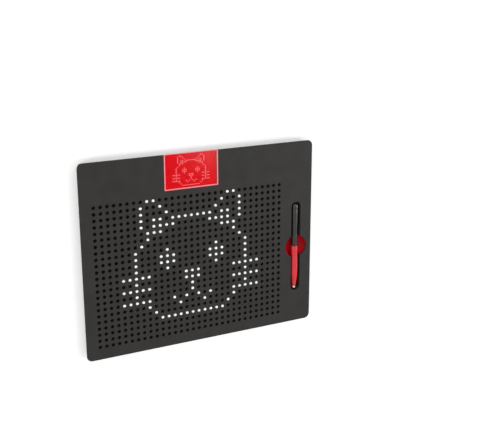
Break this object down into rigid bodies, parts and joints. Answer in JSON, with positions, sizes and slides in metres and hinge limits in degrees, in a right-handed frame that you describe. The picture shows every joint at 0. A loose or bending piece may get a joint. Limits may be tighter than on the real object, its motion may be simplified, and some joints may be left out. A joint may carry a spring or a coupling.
{
  "type": "magnetic ball drawing board",
  "caption": "Flat drawing tablet with a grid of steel balls in round wells, a magnet-tipped stylus in a well and a slide-in picture card.",
  "frame": {"origin": "middle of the underside, the board lying on its back", "axes": "+X to the right along the long side, towards the stylus; +Y towards the edge that the picture card slides out of; +Z out of the face"},
  "size_m": [0.304, 0.247, 0.014],
  "materials": {
    "front_black": "fine matt texture, dark charcoal ABS",
    "shell_red": "satin red ABS",
    "tray_red": "plain red ABS inside the case",
    "sheet_black": "matt black soft sheet",
    "cradle_red": "satin dark red ABS",
    "clear_window": "clear polished acrylic",
    "card_red": "red coated card with a pale dotted drawing",
    "stylus_black": "satin black plastic",
    "stylus_red": "glossy red plastic",
    "magnet_nickel": "bright nickel plate",
    "steel_ball": "polished bright steel",
    "screw_steel": "zinc plated steel"
  },
  "bodies": {
    "board": {"front_panel": "front_black", "back_shell": "shell_red", "ball_tray": "tray_red", "retaining_sheet": "sheet_black", "stylus_cradle": "cradle_red", "card_window": "clear_window", "screw_top_left": "screw_steel", "screw_top_mid_left": "screw_steel", "screw_top_mid_right": "screw_steel", "screw_top_right": "screw_steel", "screw_left": "screw_steel", "screw_right": "screw_steel", "screw_bottom_left": "screw_steel", "screw_bottom_mid_left": "screw_steel", "screw_bottom_mid_right": "screw_steel", "screw_bottom_right": "screw_steel"},
    "stylus": {"stylus_upper_barrel": "stylus_black", "stylus_lower_barrel": "stylus_red", "stylus_spigot": "stylus_black", "stylus_magnet": "magnet_nickel"},
    "template_card": {"template_card": "card_red"},
    "raised_left_ear": {"balls_left_ear": "steel_ball"},
    "raised_right_ear": {"balls_right_ear": "steel_ball"},
    "raised_brow": {"balls_brow": "steel_ball"},
    "raised_left_eye": {"balls_left_eye": "steel_ball"},
    "raised_right_eye": {"balls_right_eye": "steel_ball"},
    "raised_left_cheek": {"balls_left_cheek": "steel_ball"},
    "raised_right_cheek": {"balls_right_cheek": "steel_ball"},
    "raised_nose": {"balls_nose": "steel_ball"},
    "raised_mouth": {"balls_mouth": "steel_ball"},
    "raised_chin": {"balls_chin": "steel_ball"},
    "lowered_row_01": {"balls_row_01": "steel_ball"},
    "lowered_row_02": {"balls_row_02": "steel_ball"},
    "lowered_row_03": {"balls_row_03": "steel_ball"},
    "lowered_row_04": {"balls_row_04": "steel_ball"},
    "lowered_row_05": {"balls_row_05": "steel_ball"},
    "lowered_row_06": {"balls_row_06": "steel_ball"},
    "lowered_row_07": {"balls_row_07": "steel_ball"},
    "lowered_row_08": {"balls_row_08": "steel_ball"},
    "lowered_row_09": {"balls_row_09": "steel_ball"},
    "lowered_row_10": {"balls_row_10": "steel_ball"},
    "lowered_row_11": {"balls_row_11": "steel_ball"},
    "lowered_row_12": {"balls_row_12": "steel_ball"},
    "lowered_row_13": {"balls_row_13": "steel_ball"},
    "lowered_row_14": {"balls_row_14": "steel_ball"},
    "lowered_row_15": {"balls_row_15": "steel_ball"},
    "lowered_row_16": {"balls_row_16": "steel_ball"},
    "lowered_row_17": {"balls_row_17": "steel_ball"},
    "lowered_row_18": {"balls_row_18": "steel_ball"},
    "lowered_row_19": {"balls_row_19": "steel_ball"},
    "lowered_row_20": {"balls_row_20": "steel_ball"},
    "lowered_row_21": {"balls_row_21": "steel_ball"},
    "lowered_row_22": {"balls_row_22": "steel_ball"},
    "lowered_row_23": {"balls_row_23": "steel_ball"}
  },
  "joints": [
    {"name": "stylus_lift", "type": "slide", "parent": "board", "child": "stylus", "axis": [0, 0, 1], "range_m": [0, 0.06]},
    {"name": "card_pull", "type": "slide", "parent": "board", "child": "template_card", "axis": [0, 1, 0], "range_m": [0, 0.046]},
    {"name": "press_left_ear", "type": "slide", "parent": "board", "child": "raised_left_ear", "axis": [0, 0, 1], "range_m": [-0.0044, 0]},
    {"name": "press_right_ear", "type": "slide", "parent": "board", "child": "raised_right_ear", "axis": [0, 0, 1], "range_m": [-0.0044, 0]},
    {"name": "press_brow", "type": "slide", "parent": "board", "child": "raised_brow", "axis": [0, 0, 1], "range_m": [-0.0044, 0]},
    {"name": "press_left_eye", "type": "slide", "parent": "board", "child": "raised_left_eye", "axis": [0, 0, 1], "range_m": [-0.0044, 0]},
    {"name": "press_right_eye", "type": "slide", "parent": "board", "child": "raised_right_eye", "axis": [0, 0, 1], "range_m": [-0.0044, 0]},
    {"name": "press_left_cheek", "type": "slide", "parent": "board", "child": "raised_left_cheek", "axis": [0, 0, 1], "range_m": [-0.0044, 0]},
    {"name": "press_right_cheek", "type": "slide", "parent": "board", "child": "raised_right_cheek", "axis": [0, 0, 1], "range_m": [-0.0044, 0]},
    {"name": "press_nose", "type": "slide", "parent": "board", "child": "raised_nose", "axis": [0, 0, 1], "range_m": [-0.0044, 0]},
    {"name": "press_mouth", "type": "slide", "parent": "board", "child": "raised_mouth", "axis": [0, 0, 1], "range_m": [-0.0044, 0]},
    {"name": "press_chin", "type": "slide", "parent": "board", "child": "raised_chin", "axis": [0, 0, 1], "range_m": [-0.0044, 0]},
    {"name": "lift_row_01", "type": "slide", "parent": "board", "child": "lowered_row_01", "axis": [0, 0, 1], "range_m": [0, 0.0044]},
    {"name": "lift_row_02", "type": "slide", "parent": "board", "child": "lowered_row_02", "axis": [0, 0, 1], "range_m": [0, 0.0044]},
    {"name": "lift_row_03", "type": "slide", "parent": "board", "child": "lowered_row_03", "axis": [0, 0, 1], "range_m": [0, 0.0044]},
    {"name": "lift_row_04", "type": "slide", "parent": "board", "child": "lowered_row_04", "axis": [0, 0, 1], "range_m": [0, 0.0044]},
    {"name": "lift_row_05", "type": "slide", "parent": "board", "child": "lowered_row_05", "axis": [0, 0, 1], "range_m": [0, 0.0044]},
    {"name": "lift_row_06", "type": "slide", "parent": "board", "child": "lowered_row_06", "axis": [0, 0, 1], "range_m": [0, 0.0044]},
    {"name": "lift_row_07", "type": "slide", "parent": "board", "child": "lowered_row_07", "axis": [0, 0, 1], "range_m": [0, 0.0044]},
    {"name": "lift_row_08", "type": "slide", "parent": "board", "child": "lowered_row_08", "axis": [0, 0, 1], "range_m": [0, 0.0044]},
    {"name": "lift_row_09", "type": "slide", "parent": "board", "child": "lowered_row_09", "axis": [0, 0, 1], "range_m": [0, 0.0044]},
    {"name": "lift_row_10", "type": "slide", "parent": "board", "child": "lowered_row_10", "axis": [0, 0, 1], "range_m": [0, 0.0044]},
    {"name": "lift_row_11", "type": "slide", "parent": "board", "child": "lowered_row_11", "axis": [0, 0, 1], "range_m": [0, 0.0044]},
    {"name": "lift_row_12", "type": "slide", "parent": "board", "child": "lowered_row_12", "axis": [0, 0, 1], "range_m": [0, 0.0044]},
    {"name": "lift_row_13", "type": "slide", "parent": "board", "child": "lowered_row_13", "axis": [0, 0, 1], "range_m": [0, 0.0044]},
    {"name": "lift_row_14", "type": "slide", "parent": "board", "child": "lowered_row_14", "axis": [0, 0, 1], "range_m": [0, 0.0044]},
    {"name": "lift_row_15", "type": "slide", "parent": "board", "child": "lowered_row_15", "axis": [0, 0, 1], "range_m": [0, 0.0044]},
    {"name": "lift_row_16", "type": "slide", "parent": "board", "child": "lowered_row_16", "axis": [0, 0, 1], "range_m": [0, 0.0044]},
    {"name": "lift_row_17", "type": "slide", "parent": "board", "child": "lowered_row_17", "axis": [0, 0, 1], "range_m": [0, 0.0044]},
    {"name": "lift_row_18", "type": "slide", "parent": "board", "child": "lowered_row_18", "axis": [0, 0, 1], "range_m": [0, 0.0044]},
    {"name": "lift_row_19", "type": "slide", "parent": "board", "child": "lowered_row_19", "axis": [0, 0, 1], "range_m": [0, 0.0044]},
    {"name": "lift_row_20", "type": "slide", "parent": "board", "child": "lowered_row_20", "axis": [0, 0, 1], "range_m": [0, 0.0044]},
    {"name": "lift_row_21", "type": "slide", "parent": "board", "child": "lowered_row_21", "axis": [0, 0, 1], "range_m": [0, 0.0044]},
    {"name": "lift_row_22", "type": "slide", "parent": "board", "child": "lowered_row_22", "axis": [0, 0, 1], "range_m": [0, 0.0044]},
    {"name": "lift_row_23", "type": "slide", "parent": "board", "child": "lowered_row_23", "axis": [0, 0, 1], "range_m": [0, 0.0044]}
  ]
}
